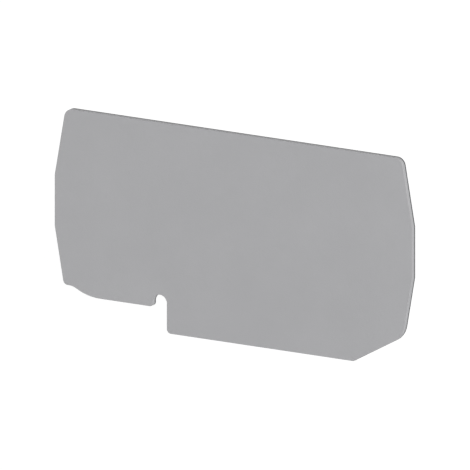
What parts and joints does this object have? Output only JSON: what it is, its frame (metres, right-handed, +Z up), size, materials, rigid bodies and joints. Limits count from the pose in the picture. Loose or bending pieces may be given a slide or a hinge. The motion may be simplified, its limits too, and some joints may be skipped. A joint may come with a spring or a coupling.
{
  "type": "terminal block end cover",
  "caption": "Thin moulded end cover for a rail-mounted terminal block, with a stepped and notched lower edge and round locating pegs on its inner face.",
  "frame": {"origin": "middle of the four locating pegs, on the inner face", "axes": "+X along the plate's length, towards the end with the ramp; +Z up and away from the rail, from the foot edge to the top edge; +Y out of the inner face, along the pegs, so the smooth outer face looks towards -Y"},
  "size_m": [0.066, 0.0036, 0.0347],
  "materials": {
    "grey_plastic": "fine satin moulded surface, light grey throughout"
  },
  "bodies": {
    "root": {"end_cover": "grey_plastic"}
  },
  "joints": []
}
